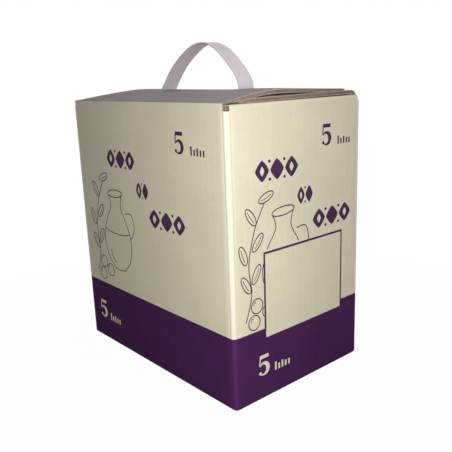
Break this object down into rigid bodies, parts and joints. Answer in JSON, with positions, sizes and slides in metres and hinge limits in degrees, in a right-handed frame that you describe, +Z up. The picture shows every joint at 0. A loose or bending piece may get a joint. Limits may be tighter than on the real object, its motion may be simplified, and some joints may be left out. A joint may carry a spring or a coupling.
{
  "type": "bag in box carton",
  "caption": "Upright corrugated carton with full overlap top flaps and a plastic carry strap; inside it a filled film bag with a spout and a push button tap.",
  "frame": {"origin": "middle of the carton's underside, on the floor plane", "axes": "+Z up; the front short wall faces -Y, the tap and its knock-out face +Y, and the outer top flap hinges along the top edge of the -X long wall"},
  "size_m": [0.14, 0.206, 0.2654],
  "materials": {
    "printed_board": "matt printed paper liner on corrugated board, pale cream with a dark purple band round the foot",
    "bare_liner": "matt unprinted grey white paper liner on corrugated board",
    "strap_plastic": "milky half clear polyethylene, satin",
    "bag_film": "metallised plastic film, glossy and creased",
    "spout_plastic": "natural white polyethylene",
    "tap_plastic": "dark moulded plastic",
    "button_plastic": "dark red soft plastic"
  },
  "bodies": {
    "carton_body": {"carton": "printed_board", "filled_bag": "bag_film", "bag_spout": "spout_plastic", "tap_body": "tap_plastic"},
    "top_flap_body": {"outer_top_flap": "bare_liner", "carry_strap": "strap_plastic"},
    "tap_button_body": {"tap_button": "button_plastic", "valve_stem": "spout_plastic"}
  },
  "joints": [
    {"name": "outer_top_flap_hinge", "type": "hinge", "parent": "carton_body", "child": "top_flap_body", "pos_m": [-0.07, 0, 0.2196], "axis": [0, -1, 0], "range_deg": [0, 220]},
    {"name": "tap_button_push", "type": "slide", "parent": "carton_body", "child": "tap_button_body", "axis": [0, -1, 0], "range_m": [0, 0.0035], "stiffness_N_per_m": 600}
  ]
}
